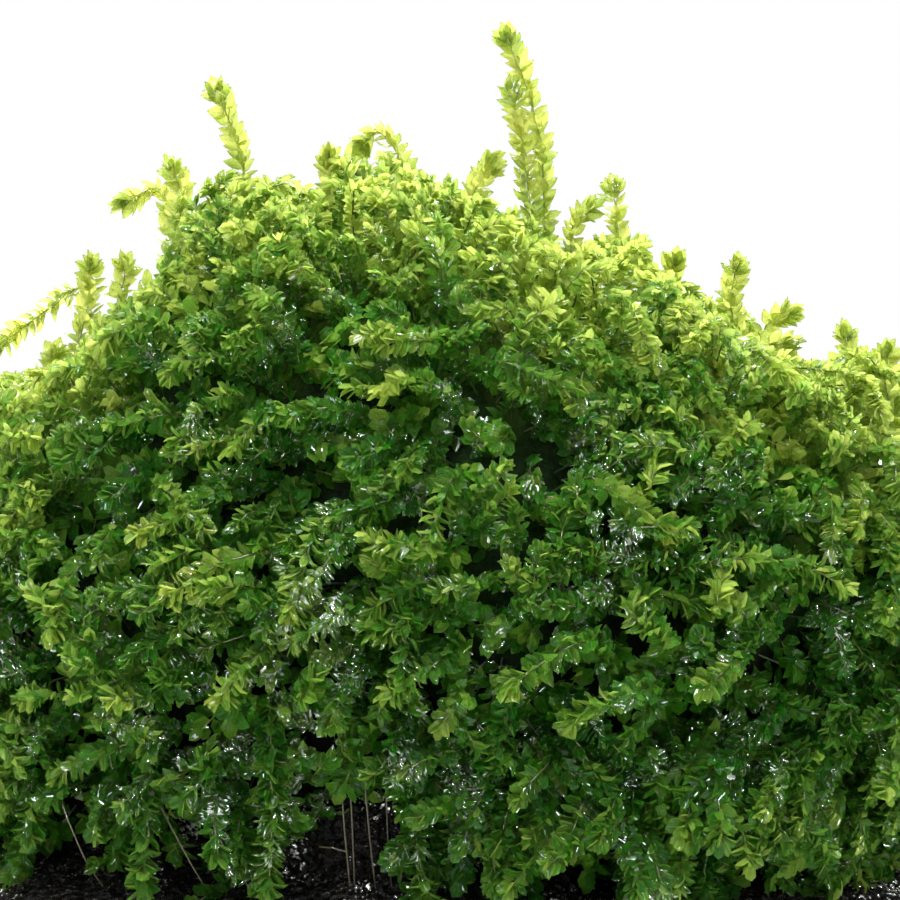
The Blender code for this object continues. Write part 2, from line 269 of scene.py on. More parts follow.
def leafMaterial(name, colours, glowYoung, glowOld):
    # Wet leaf: a glossy film over a thin blade that lets light through
    material, tree = newMaterial(name)
    pattern = addNode(tree, "Group", node_tree=leafPattern)
    for key, colour in colours.items():
        feed(pattern.inputs[key], colour)
    side, _, along, rim = leafPlaces(tree)
    age = attribute(tree, "age")
    tint = attribute(tree, "tint")
    onLeaf = addNode(tree, "CombineXYZ", {  # drawn out along the blade, different on every leaf
        "X": side, "Y": times(along, 0.6), "Z": times(tint, 20)})
    glint = addGlint(onLeaf.outputs[0], *glints["onLeaf"])
    relief = plus(pattern.outputs["Relief"], times(glint, 1.2))
    blade = addNode(tree, "BsdfPrincipled", {
        "Base Color": addMix(glint, pattern.outputs["Colour"], (0.86, 0.88, 0.84)), "Metallic": glint,
        "Roughness": pattern.outputs["Roughness"], "IOR": 1.45, "Specular IOR Level": 0.13,
        "Coat Weight": pattern.outputs["Coat"], "Coat Roughness": 0.05, "Coat IOR": 1.5,
        "Normal": addBump(relief, 1, 0.15 * mm)})
    # light through the blade: more and yellower when young, and darker at the rim, which is painted shade of
    # the edge seen side-on
    glowAge = plus(age, addRange(tint, 0, 1, -0.2, 0.2), clamp=True)
    glow = addMix(glowAge, glowYoung, glowOld)
    glow = addMix(times(rim, 0.6), glow, (0.35, 0.5, 0.2), "MULTIPLY")
    through = addNode(tree, "BsdfTranslucent", {"Color": glow})
    share = addRange(age, 0, 0.6, 0.54, 0.42)
    both = addNode(tree, "MixShader", {0: share, 1: blade.outputs[0], 2: through.outputs[0]})
    toSurface(both)
    return material


def stemMaterial(name, old, young):
    material, tree = newMaterial(name)
    grain = addNoise(objectPlace(tree), 1500, 3)
    ageNow = plus(attribute(tree, "age"), addRange(grain, 0.3, 0.7, -0.2, 0.2), clamp=True)
    toSurface(addNode(tree, "BsdfPrincipled", {
        "Base Color": addMix(ageNow, young, old), "Metallic": 0, "Coat Weight": 0.4, "Coat Roughness": 0.1,
        "Roughness": addRange(grain, 0.3, 0.7, 0.28, 0.5), "Normal": addBump(grain, 0.5, 0.04 * mm)}))
    return material


def oldGrowthMaterial():
    material, tree = newMaterial("deepOldGrowth")
    place = objectPlace(tree)
    coarse = addNoise(place, 240, 4)
    fine = addNoise(place, 1900, 4)
    dark = addRamp(coarse, (0.3, (0.005, 0.014, 0.003)), (0.55, (0.011, 0.034, 0.005)),
                   (0.75, (0.02, 0.032, 0.008)))
    pitted = addMix(addRange(fine, 0.3, 0.7, 0, 0.7), dark, (0.35, 0.4, 0.3), "MULTIPLY")
    footShade = addRange(axesOf(place)["Z"], 16 * mm, 30 * mm, 1, 0)
    shaded = addMix(footShade, pitted, (0.25, 0.15, 0.15), "MULTIPLY")
    toSurface(addNode(tree, "BsdfPrincipled", {
        # paler green toward the crest: painted backlight on the old growth there
        "Base Color": addMix(attribute(tree, "crest"), shaded, (0.24, 0.44, 0.05)), "Metallic": 0,
        "Roughness": addRange(fine, 0.3, 0.7, 0.6, 0.9), "Specular IOR Level": 0.04,
        "Normal": addBump(plus(coarse, fine), 0.8, 0.4 * mm)}))
    return material


def humusMaterial():
    # Black wet humus: brown crumbs with painted shade in the cracks between them, a dark film and glittering
    # facets of water
    material, tree = newMaterial("wetBlackHumus")
    place = objectPlace(tree)
    fine = addNoise(place, 3200, 3)
    cells = addNode(tree, "TexVoronoi", {"Vector": place, "Scale": 1250, "Randomness": 1})
    crumbs = cells.outputs["Distance"]
    black = addRamp(addNoise(place, 300, 4), (0.32, (0.003, 0.003, 0.0025)), (0.5, (0.006, 0.005, 0.004)),
                    (0.62, (0.012, 0.009, 0.006)), (0.8, (0.005, 0.006, 0.003)))
    # darker where the ground sinks between crumbs: painted shade in the cracks
    crumbled = addMix(addRange(crumbs, 0.1, 0.8, 0, 0.85), black, (0.2, 0.19, 0.17), "MULTIPLY")
    glint = addGlint(place, *glints["onGround"])
    height = addMath("SUBTRACT", times(fine, 0.7), crumbs)
    toSurface(addNode(tree, "BsdfPrincipled", {
        "Base Color": addMix(glint, crumbled, (0.85, 0.85, 0.83)), "Metallic": glint,
        "Roughness": addRange(fine, 0.4, 0.6, 0.1, 0.4), "Specular IOR Level": 0.1,
        "Normal": addBump(height, 1, 0.5 * mm)}))
    return material


def floorMaterial():
    material, tree = newMaterial("paleFloor")
    mottle = addNoise(objectPlace(tree), 6, 2)
    colour = addRamp(mottle, (0.3, (0.8, 0.8, 0.79)), (0.7, (0.84, 0.84, 0.83)))
    toSurface(addNode(tree, "BsdfPrincipled", {"Base Color": colour, "Roughness": 0.6}))
    return material


# the Rim colours are painted light: a pale highlight of the wet edge on mossLeaf, shade of the edge seen
# side-on on crownLeaf
mossLeaf = leafMaterial("mossLeaf", {
    "Young": (0.56, 0.68, 0.095), "Grown": (0.042, 0.35, 0.006), "Old": (0.012, 0.135, 0.004),
    "Dead": (0.09, 0.08, 0.01), "Rim": (0.25, 0.52, 0.06)}, (0.66, 0.77, 0.17), (0.018, 0.31, 0.004))
crownLeaf = leafMaterial("crownLeaf", {
    "Young": (0.66, 0.7, 0.11), "Grown": (0.37, 0.57, 0.055), "Old": (0.11, 0.3, 0.018),
    "Dead": (0.5, 0.26, 0.022), "Rim": (0.14, 0.28, 0.025)}, (0.68, 0.72, 0.18), (0.3, 0.52, 0.07))
mossStem = stemMaterial("mossStem", (0.02, 0.055, 0.006), (0.26, 0.36, 0.045))
bareStem = stemMaterial("bareStem", (0.04, 0.034, 0.014), (0.15, 0.125, 0.055))
oldGrowth = oldGrowthMaterial()
blackHumus = humusMaterial()
print("materials made")


leaf = {
    "halfWidth": 0.34, "waves": 7, "fineCurl": 0.6,
    # places along the blade and how wide it is there: on the crown's leaders, on the mass, and deep in it
    "fine": ((0, 0.36), (0.16, 0.84), (0.4, 1), (0.74, 0.64), (1, 0)),
    "plain": ((0, 0), (0.32, 0.96), (0.82, 0.74), (1, 0)),
    "deep": ((0, 0), (0.32, 0.96), (0.8, 0.76), (1, 0)),
    # rise of the edges, droop of the tip, sideways wave of each kind
    "kinds": ((0.24, -0.34, 0.03), (-0.18, 0.16, -0.04), (0.34, 0.08, 0.04), (-0.1, -0.42, 0.03)),
}


def arraysOf(bm, mapOf):
    # A small shape's points, their places on its map, and its triangles
    bm.verts.index_update()
    bm.faces.ensure_lookup_table()
    points = np.array([vert.co for vert in bm.verts])
    places = np.array([mapOf(vert.co) for vert in bm.verts])
    faces = np.array([[vert.index for vert in face.verts] for face in bm.faces])
    bm.free()
    return points, places, faces


def leafPrototype(outline, columns, edgeRise, tipBend, wave):
    # A blade along +Y from its root, face up: rows of points closed to one at the tip
    bm = bmesh.new()
    bmesh.ops.create_grid(bm, x_segments=columns, y_segments=len(outline) - 1, size=0.5)
    for vert in bm.verts:
        along, width = outline[round((vert.co.y + 0.5) * (len(outline) - 1))]
        side = round(vert.co.x * 2)
        across = side * width * leaf["halfWidth"]
        height = abs(across) * edgeRise / leaf["halfWidth"] + tipBend * along * along
        height += wave * side * width * math.sin(along * leaf["waves"])
        vert.co = (across, along, height)
    bmesh.ops.remove_doubles(bm, verts=bm.verts, dist=0.001)
    bmesh.ops.triangulate(bm, faces=bm.faces)
    return arraysOf(bm, lambda co: (0.5 + co.x / leaf["halfWidth"] / 2, co.y))


def stemPrototype(sides):
    # One length of stem along +Y, open at both ends, run on a little into the next
    bm = bmesh.new()
    bmesh.ops.create_cone(bm, cap_ends=False, segments=sides, radius1=1, radius2=0.93, depth=1.06)
    bmesh.ops.rotate(bm, verts=bm.verts, matrix=Matrix.Rotation(-math.pi / 2, 3, "X"))
    bmesh.ops.translate(bm, verts=bm.verts, vec=(0, 0.5, 0))
    bmesh.ops.triangulate(bm, faces=bm.faces)
    return arraysOf(bm, lambda co: (0.5, co.y))


fineKinds = [[leaf["fineCurl"] * value for value in kind] for kind in leaf["kinds"]]
fineLeaves = [leafPrototype(leaf["fine"], 2, *kind) for kind in fineKinds]
plainLeaves = [leafPrototype(leaf["plain"], 2, *kind) for kind in leaf["kinds"]]
deepLeaves = [leafPrototype(leaf["deep"], 1, *kind) for kind in leaf["kinds"]]
stemKind = stemPrototype(3)


def joinedPiece(name, batches, materials):
    # One mesh of many placed copies. A batch is (prototype, turns, places, tint, age, material number)
    parts = []
    row = math.ceil(math.sqrt(sum(len(batch[2]) for batch in batches)))
    count = copied = 0
    for (shape, shapeMap, faces), turns, places, tint, age, slot in batches:
        copies = len(places)
        placed = np.einsum("nij,vj->nvi", turns, shape) + places[:, None]
        placed[..., 2] = np.maximum(placed[..., 2], 0.1 * mm)  # nothing under the floor
        corner = faces[None] + (np.arange(copies) * len(shape))[:, None, None] + count
        cell = np.arange(copies) + copied
        parts.append((
            placed.reshape(-1, 3), corner.reshape(-1), np.tile(shapeMap[faces].reshape(-1, 2), (copies, 1)),
            np.repeat(np.stack([cell % row, cell // row], 1), faces.size, 0), np.repeat(tint, len(shape)),
            np.repeat(age, len(shape)), np.full(copies * len(faces), slot)))
        count += copies * len(shape)
        copied += copies
    points, corners, maps, cells, tints, ages, slots = (np.concatenate(part) for part in zip(*parts))
    mesh = bpy.data.meshes.new(name)
    mesh.vertices.add(count)
    mesh.vertices.foreach_set("co", points.astype(np.float32).ravel())
    mesh.loops.add(len(corners))
    mesh.loops.foreach_set("vertex_index", corners.astype(np.int32))
    mesh.polygons.add(len(corners) // 3)
    mesh.polygons.foreach_set("loop_start", np.arange(0, len(corners), 3, dtype=np.int32))
    mesh.polygons.foreach_set("material_index", slots.astype(np.int32))
    mesh.update(calc_edges=True)
    for label, values in (("tint", tints), ("age", ages)):
        layer = mesh.attributes.new(label, "FLOAT", "POINT")
        layer.data.foreach_set("value", values.astype(np.float32))
    squares = (cells + 0.06 + 0.88 * maps) / row  # every leaf has its own on the second map, edges kept clear
    for label, values in (("leafMap", maps), ("OFBake", squares)):
        mesh.uv_layers.new(name=label).uv.foreach_set("vector", values.astype(np.float32).ravel())
    for material in materials:
        mesh.materials.append(material)
    mesh.shade_smooth()
    return linked(name, mesh)


shoot = {
    "leafLength": 1.3 * mm, "leafStep": 0.165 * mm, "stemRadius": 0.1 * mm, "stemTaper": (1.1, 0.75),
    "breadth": 0.8, "plainShare": 0.75, "bareShare": 0.2, "tipRoom": 0.35 * mm, "stepAhead": 0.3 * mm,
    "sideLean": 60, "topLean": 30, "turnedUnder": 0.35, "rosetteRun": 0.6,
    "rosetteLeans": (6, 24, 26, 40, 44, 58, 60), "rosetteTurns": (90, 20, 160, 0, 180, -20, 200),
    # places up the shoot with the sizes of its leaves there, and where its bud begins
    "sizes": ((0, 0.3, 0.8, 1), (0.8, 0.97, 1, 1.05)), "bud": (0.84, 0.97),
    # random spreads
    "place": 0.04 * mm, "turn": 11, "lean": 7, "tipTurn": 12, "tipLean": 6, "face": 0.17, "size": 0.09,
    "sizeLimits": (0.75, 1.25), "breadths": (0.85, 1.15), "age": 0.05,
}


def along(path, distances):
    # Points and forward directions at distances along a path
    steps = np.linalg.norm(np.diff(path, axis=0), axis=1)
    reached = np.concatenate([[0], np.cumsum(steps)])
    at, ahead, behind = (
        np.stack([np.interp(distances + shift, reached, path[:, axis]) for axis in range(3)], 1)
        for shift in (0, shoot["stepAhead"], -shoot["stepAhead"]))
    return at, unit(ahead - behind)


def dressShoot(path, facing, size=1, step=1, ageFrom=1, ageTo=0.15, tone=0, bare=shoot["bareShare"],
               rosette=7, sideLean=shoot["sideLean"], flat=0.8, breadth=shoot["breadth"], tipAge=None):
    # Leaves of one shoot: two ranks spread flat, a third lying over the stem, and a rosette at the tip
    length = float(np.linalg.norm(np.diff(path, axis=0), axis=1).sum())
    places = np.arange(length * bare, length - shoot["tipRoom"], shoot["leafStep"] * step * size)
    count = len(places)
    places = places + draw.normal(0, shoot["place"], count)
    distances = np.concatenate([places, length - np.linspace(0, shoot["rosetteRun"], rosette) * mm * size])
    at, forward = along(path, distances)
    rank = np.arange(count) % 3
    onTop = rank == 2
    turn = np.choose(rank, [0, 180, 90]) + draw.normal(0, shoot["turn"], count)
    turn = np.where(onTop & (draw.random(count) < shoot["turnedUnder"]), turn + 180, turn)
    lean = np.where(onTop, shoot["topLean"], sideLean) + draw.normal(0, shoot["lean"], count)
    tipTurn = np.array(shoot["rosetteTurns"][:rosette]) + draw.normal(0, shoot["tipTurn"], rosette)
    tipLean = np.array(shoot["rosetteLeans"][:rosette]) + draw.normal(0, shoot["tipLean"], rosette)
    turn = np.radians(np.concatenate([turn, tipTurn]))
    lean = np.radians(np.concatenate([lean, tipLean]))
    side = unit(np.cross(forward, facing))
    front = np.cross(side, forward)
    radial = np.cos(turn)[:, None] * side + np.sin(turn)[:, None] * front
    blade = np.cos(lean)[:, None] * forward + np.sin(lean)[:, None] * radial
    toward = np.where(np.sin(turn) < -0.5, -1, 1)[:, None]
    face = flat * front * toward + (1.15 - flat) * forward - 0.2 * radial
    face = face + draw.normal(0, shoot["face"], radial.shape)
    face = unit(face - (face * blade).sum(1)[:, None] * blade)
    grown = distances / length
    number = len(turn)
    scale = np.interp(grown, *shoot["sizes"]) * size * shoot["leafLength"]
    scale = scale * np.clip(draw.normal(1, shoot["size"], number), *shoot["sizeLimits"])
    width = scale * draw.uniform(*shoot["breadths"], number) * breadth
    width, scale = width[:, None], scale[:, None]
    turns = np.stack([np.cross(blade, face) * width, blade * scale, face * scale], 2)
    starts = at + radial * shoot["stemRadius"] * 0.6
    age = np.interp(grown, [0, 1], [ageFrom, ageTo]) + tone + draw.normal(0, shoot["age"], number)
    if tipAge is not None:  # a greener bud at the tip
        age = np.maximum(age, tipAge * ease(*shoot["bud"], grown))
    return turns, starts, draw.random(number), np.clip(age, 0, 1), grown


def dressStem(path, ageFrom=1, ageTo=0.1, radius=shoot["stemRadius"]):
    ways = np.diff(path, axis=0)
    forward = ways / np.linalg.norm(ways, axis=1, keepdims=True)
    other = unit(np.cross(forward, np.array([0.31, 0.52, 0.79])))  # a direction that no stem follows
    thin = radius * np.linspace(*shoot["stemTaper"], len(ways))[:, None]
    turns = np.stack([other * thin, ways, np.cross(other, forward) * thin], 2)
    return turns, path[:-1], np.full(len(ways), 0.5), np.linspace(ageFrom, ageTo, len(ways))


def shootPiece(name, leaves, stems, outer, inner, innerShare=0, leafKind=mossLeaf):
    # Leaves are shared out over the kinds of blade, with plainer ones on the inner part of each shoot
    turns, places, tint, age, grown = (np.concatenate(part) for part in zip(*leaves))
    kind = draw.integers(0, len(outer), len(places)) + len(outer) * (grown < innerShare)
    batches = [(shape, turns[kind == k], places[kind == k], tint[kind == k], age[kind == k], 0)
               for k, shape in enumerate(outer + inner) if (kind == k).any()]
    turns, places, tint, age = (np.concatenate(part) for part in zip(*stems))
    batches.append((stemKind, turns, places, tint, age, 1))
    return joinedPiece(name, batches, [leafKind, mossStem])


rayLength = 0.2
core = {
    "middle": Vector((0, 0, 19 * mm)), "fineness": 6, "evenOut": 3, "softening": 4,
    "inside": 1.8 * mm, "lump": 0.9 * mm, "lumpScale": 26, "sink": 3 * mm, "lowest": 1.5 * mm,
    # room for shoots over the pad and over the evened mound, and how near the pad the moss leaves it open
    "overPad": 7 * mm, "evenMoss": 5 * mm, "open": 1 * mm,
}
crown = {
    # the crown's outline as the camera sees it in the middle of the depth: x, height
    "line": np.array([
        (-60, 42), (-45, 45.8), (-37.5, 45.2), (-36, 48), (-34.5, 50.6), (-31, 52), (-28.5, 54), (-28, 59),
        (-26.5, 63.6), (-24, 65), (-19, 64), (-15, 64.4), (-13.8, 62.5), (-12, 66), (-10, 68), (-7.5, 69),
        (-5, 67), (-2, 65.2), (1, 64), (3, 65), (4.4, 61), (6, 60), (10, 59), (11, 57), (14, 58),
        (15.5, 62.4), (17.5, 61.5), (19, 58.5), (22.2, 56), (23, 53.5), (25, 52.5), (29.5, 51),
        (31.5, 48.5), (34, 46), (37.5, 45.5), (39, 48), (43, 47), (45, 46.5), (60, 43)]) * mm,
    "eye": np.array([0, -249, 59.8]) * mm,
    "pale": (20 * mm, 4 * mm),  # how far below the line the moss begins to pale, and where it is palest
}


def paleness(place):
    # The moss is paler toward the crest of the mound: partly younger growth, partly painted backlight
    crest = np.interp(place[0], *crown["line"].T)
    return float(ease(*crown["pale"], crest - place[2]))


def radialReach(tree, directions):
    # How far a solid reaches from the middle along each direction, 0 where it isn't met
    reach = np.zeros(len(directions))
    for number, direction in enumerate(directions):
        start = core["middle"] + direction * rayLength
        spot, _, _, gap = tree.ray_cast(start, -direction, rayLength)
        reach[number] = rayLength - gap if spot else 0
    return reach


cushionTree = BVHTree.FromBMesh(mergedCopy("moss_cushion"))
padTree = BVHTree.FromBMesh(mergedCopy("humus_pad"))
coreMesh = bmesh.new()
bmesh.ops.create_icosphere(coreMesh, subdivisions=core["fineness"], radius=1)
directions = [vert.co.normalized() for vert in coreMesh.verts]
cushionReach = radialReach(cushionTree, directions)
padReach = radialReach(padTree, directions)
ends = np.array([[vert.index for vert in edge.verts] for edge in coreMesh.edges])
pairs = np.concatenate([ends, ends[:, ::-1]])


def spreadOnce(take, reach):
    # Each point takes the least or the most of its own reach and its neighbours'
    result = reach.copy()
    take.at(result, pairs[:, 0], reach[pairs[:, 1]])
    return result


reach = np.maximum(cushionReach, padReach)
# takes the tufts off and keeps the mound
for take in [np.minimum] * core["evenOut"] + [np.maximum] * core["evenOut"]:
    reach = spreadOnce(take, reach)
neighbours = np.bincount(pairs[:, 0], minlength=len(reach))
for _ in range(core["softening"]):
    reach = 0.5 * reach + 0.5 * np.bincount(pairs[:, 0], reach[pairs[:, 1]], len(reach)) / neighbours
low = np.array([direction.z < 0 for direction in directions])
envelope = np.maximum.reduce([cushionReach, padReach + core["overPad"] * low, reach + core["evenMoss"]])
envelope = spreadOnce(np.maximum, envelope)
toward = KDTree(len(directions))
for number, direction in enumerate(directions):
    toward.insert(direction, number)
toward.balance()
for vert, direction, distance in zip(coreMesh.verts, directions, reach):
    lump = core["lump"] * noise.noise(direction * core["lumpScale"])
    place = core["middle"] + direction * (distance - core["inside"] + lump)
    # deeper at the crest, where light comes through the shoots
    vert.co = place - direction * core["sink"] * paleness(place)
    vert.co.z = max(vert.co.z, core["lowest"])
coreMesh.normal_update()
coreTree = BVHTree.FromBMesh(coreMesh)
faceCentres = np.array([face.calc_center_median() for face in coreMesh.faces])
faceNormals = np.array([face.normal for face in coreMesh.faces])
faceAreas = np.array([face.calc_area() for face in coreMesh.faces])
faceCorners = np.array([[vert.index for vert in face.verts] for face in coreMesh.faces])
padThere = padReach[faceCorners].mean(1)
bareCore = np.linalg.norm(faceCentres - np.array(core["middle"]), axis=1) > padThere
openGround = padThere + core["open"] > cushionReach[faceCorners].mean(1)
# how near the crest each point is, for the painted backlight on the old growth
crestOf = [paleness(vert.co) for vert in coreMesh.verts]
corePiece = pieceFrom("deepGrowth", coreMesh, oldGrowth)
corePiece.data.attributes.new("crest", "FLOAT", "POINT").data.foreach_set("value", crestOf)
print("deep growth", len(corePiece.data.polygons))


growth = {
    "spacing": 2.15 * mm, "backSpacing": 2.75 * mm, "backFrom": 12 * mm, "rootSpread": 0.4 * mm,
    "cell": 4 * mm, "tries": 26000, "crownHeight": 44 * mm, "lengths": (7 * mm, 14 * mm), "steps": 6,
    "wander": 0.07, "centre": np.array([-2, 3, 40]) * mm, "swirl": 13 * mm, "leafRoom": 0.8 * mm,
    "lowest": 1.2 * mm, "crownRoom": (-1.2, 1.8), "facingSpread": 0.34,
    # share of the shoots that run out past the others, how much longer they are and how far out they may lie
    "runners": 0.14, "runnerLength": 1.45, "runnerBeyond": 0.9 * mm,
    # a shoot stands up between these heights and slopes of its root, and hangs between those
    "standHeights": (42 * mm, 58 * mm), "standSlopes": (0.1, 0.7), "hangHeights": (24 * mm, 8 * mm),
    # dark hollows between the shoots of the front: x, height, radius
    "hollows": np.array([
        (-6.8, 45.5, 3.4), (4.6, 38.6, 3.4), (20.4, 41, 3.2), (-3.4, 32, 3), (24.6, 20, 3.2),
        (-17, 22.5, 3.6), (9, 24.5, 2.8), (-27, 29, 2.8), (33, 30, 2.8), (-22, 41, 2.6),
        (12, 13, 2.8), (-33, 17, 2.8)]) * mm,
    # where the ground shows low in the front
    "openings": np.array([
        (-8.6, 9, 4.2), (-13, 13.5, 2.6), (12, 5.6, 3.2), (-25, 4.4, 3.4), (-35, 5, 3.2),
        (-16, 20.5, 2.6)]) * mm,
    # sides of the mound by the angle at which each ends
    "sides": ((50, "rightMoss"), (130, "backMoss"), (205, "leftMoss"), (262, "frontLeftMoss"),
              (322, "frontRightMoss"), (361, "rightMoss")),
}


def rootPlaces(settings, where):
    # Roots spread over the mound, no two closer than the spacing
    chosen = draw.choice(len(faceCentres), settings["tries"], p=faceAreas * where / (faceAreas * where).sum())
    cells = {}
    kept = []
    for face in chosen:
        place = faceCentres[face] + draw.normal(0, growth["rootSpread"], 3)
        room = settings["backSpacing" if place[1] > growth["backFrom"] else "spacing"]
        key = tuple(int(math.floor(value / growth["cell"])) for value in place)
        near = [other for dx in (-1, 0, 1) for dy in (-1, 0, 1) for dz in (-1, 0, 1)
                for other in cells.get((key[0] + dx, key[1] + dy, key[2] + dz), [])]
        if all(np.linalg.norm(place - other) > room for other in near):
            cells.setdefault(key, []).append(place)
            kept.append((place, faceNormals[face]))
    return kept


def inFront(spots, path):
    # Whether a path that ends in the front passes one of the round spots
    gaps = np.hypot(path[:, None, 0] - spots[:, 0], path[:, None, 2] - spots[:, 1])
    return path[-1, 1] < 0 and (gaps < spots[:, 2]).any()


def overCrown(points):
    # How far points stand above the crown's outline where the camera sees them against it
    share = crown["eye"][1] / (crown["eye"][1] - points[:, 1])
    across = points[:, 0] * share
    height = crown["eye"][2] + (points[:, 2] - crown["eye"][2]) * share
    return height - np.interp(across, *crown["line"].T)


def heldIn(path, room, beyond):
    # Lays a path inside the outline of the cushion's tufts, then draws it back under the crown's line
    middle = np.array(core["middle"])
    ways = path - middle
    distances = np.linalg.norm(ways, axis=1)
    limits = np.array([envelope[toward.find(way)[1]] for way in ways]) - growth["leafRoom"] + beyond
    path = middle + ways * np.minimum(1, limits / distances)[:, None]
    root = path[0]
    for _ in range(5):
        if (overCrown(path) + room).max() < 0:
            break
        path = root + (path - root) * 0.8
    path[:, 2] = np.maximum(path[:, 2], growth["lowest"])
    return path


def bentPath(root, start, end, length):
    # A stem that leaves along start and ends along end
    steps = growth["steps"]
    shares = np.linspace(0, 1, steps)[:, None]
    ways = unit(start * (1 - shares) + end * shares + draw.normal(0, growth["wander"], (steps, 3)))
    return np.concatenate([[root], root + np.cumsum(ways, 0) * length / steps])


def growCushionShoot(root, normal, pale):
    # A shoot stands up near the crest, lies along the face lower down, and hangs at the foot
    upright = ease(*growth["standHeights"], root[2]) * ease(*growth["standSlopes"], normal[2])
    low = ease(*growth["hangHeights"], root[2])
    up = np.array([0, 0, 1])
    outward = unit(root - growth["centre"])
    flow = outward - (outward @ normal) * normal
    level = unit(np.cross(normal, (0, 0, 1)) + 1e-6)
    rising = np.cross(level, normal)
    swirl = 4.5 * noise.noise(Vector(root) / growth["swirl"]) + draw.normal(0, 0.75)
    across = math.cos(swirl) * level - math.sin(swirl) * rising
    start = unit(normal + 0.35 * across + 0.3 * upright * up)
    lying = 0.4 * normal + 1.1 * flow + 0.9 * across - (0.08 + 0.5 * low) * up
    standing = 0.85 * up + 0.25 * outward + 0.42 * across
    end = unit(lying * (1 - upright) + standing * upright)
    runner = draw.random() < growth["runners"]
    longer = growth["runnerLength"] if runner else 1
    length = draw.uniform(*growth["lengths"]) * (1 - 0.2 * upright) * longer
    path = bentPath(root, start, end, length + core["sink"] * pale)
    path = heldIn(path, draw.uniform(*growth["crownRoom"]) * mm, growth["runnerBeyond"] * runner)
    facing = unit(normal + draw.normal(0, growth["facingSpread"], 3) + 0.2 * up)
    return path, facing, (path[-1] - root) @ normal, runner


def sideOf(root):
    if root[2] > growth["crownHeight"]:
        return "crownFrontMoss" if root[1] < 0 else "crownBackMoss"
    angle = math.degrees(math.atan2(root[1], root[0])) % 360
    return next(name for limit, name in growth["sides"] if angle < limit)


mass = {
    "sizes": (0.9, 1.1), "runnerSize": 0.1, "flats": (0.2, 0.9),
    "step": 0.8, "backStep": 1.3, "paleStep": 0.1,  # room between leaves
    # ages at the foot and the tip, and how much younger a pale shoot is there, which paints part of the
    # crest's backlight on it
    "ageFrom": 1, "paleFrom": 0.94, "ageTo": 0.33, "paleTo": 0.33, "stemAgeTo": 0.5,
    "breadth": 0.8, "lowBreadth": 0.2, "broadHeights": (34 * mm, 20 * mm),
    # what makes a shoot older or younger: chance, patches, standing back, growing low, running out; standing
    # back and growing low darken it as painted shade in the hollows and toward the foot
    "toneSpread": 0.07, "patches": ((0.3, 11 * mm), (0.16, 5 * mm)), "patchPale": 0.85, "deep": 0.2,
    "deepFrom": (6 * mm, 2 * mm), "deepPale": 0.8, "low": 0.24, "lowHeights": (46 * mm, 6 * mm),
    "runner": 0.24,
}

mossSides = {}
for root, normal in rootPlaces(growth, ~openGround):
    if inFront(growth["hollows"], root[None]):
        continue
    pale = paleness(root)
    path, facing, most, runner = growCushionShoot(root, normal, pale)
    if inFront(growth["openings"], path):
        continue
    patch = sum(share * noise.noise(Vector(root) / size) for share, size in mass["patches"])
    tone = draw.normal(0, mass["toneSpread"]) + patch * (1 - mass["patchPale"] * pale)
    # a shoot that stands back or grows low is made darker: painted shade in the hollows and toward the foot
    tone += mass["deep"] * ease(*mass["deepFrom"], most) * (1 - mass["deepPale"] * pale)
    tone = tone + mass["low"] * ease(*mass["lowHeights"], root[2]) - mass["runner"] * runner
    size = draw.uniform(*mass["sizes"]) + mass["runnerSize"] * runner
    step = mass["backStep"] if root[1] > growth["backFrom"] else mass["step"]
    breadth = mass["breadth"] + mass["lowBreadth"] * ease(*mass["broadHeights"], root[2])
    leaves, stems = mossSides.setdefault(sideOf(root), ([], []))
    leaves.append(dressShoot(
        path, facing, size=size, step=step + mass["paleStep"] * pale, tone=tone, breadth=breadth,
        ageFrom=mass["ageFrom"] - mass["paleFrom"] * pale, ageTo=mass["ageTo"] - mass["paleTo"] * pale,
        flat=draw.uniform(*mass["flats"])))
    stems.append(dressStem(path, ageTo=mass["stemAgeTo"]))

# shoots round the foot, and more of them to the right of the open ground
foot = {
    "shoots": 190, "extra": 118, "extraFrom": (-87, -12), "rootHeight": (7 * mm, 14 * mm),
    "lengths": (7 * mm, 13 * mm), "in": 3 * mm, "above": 3 * mm, "lowest": 0.9 * mm, "sizes": (0.9, 1.1),
    "flats": (0.3, 0.9), "toneSpread": 0.08, "ageToRight": 0.35, "ageToLeft": 0.6,
    "thinned": (-2 * mm, -18 * mm, 0.5),  # left of this x and in front of this y, this share is left out
}


def growFootShoot(angle):
    # A shoot that hangs from the mound's lower edge down to the floor
    way = Vector((math.cos(angle), math.sin(angle), 0))
    start = way * rayLength + Vector((0, 0, draw.uniform(*foot["rootHeight"]) + foot["above"]))
    spot = cushionTree.ray_cast(start, -way, rayLength)[0] or coreTree.ray_cast(start, -way, rayLength)[0]
    root = np.array(spot) - np.array(way) * foot["in"]
    outward = np.array(way)
    level = np.cross(outward, (0, 0, 1)) * draw.normal(0, 0.9)
    start = unit(outward + 0.3 * level)
    end = unit(0.15 * outward + level - np.array((0, 0, 0.9)))
    path = bentPath(root, start, end, draw.uniform(*foot["lengths"]))
    path[:, 2] = np.maximum(path[:, 2], foot["lowest"])
    return root, path, unit(outward + draw.normal(0, 0.3, 3))


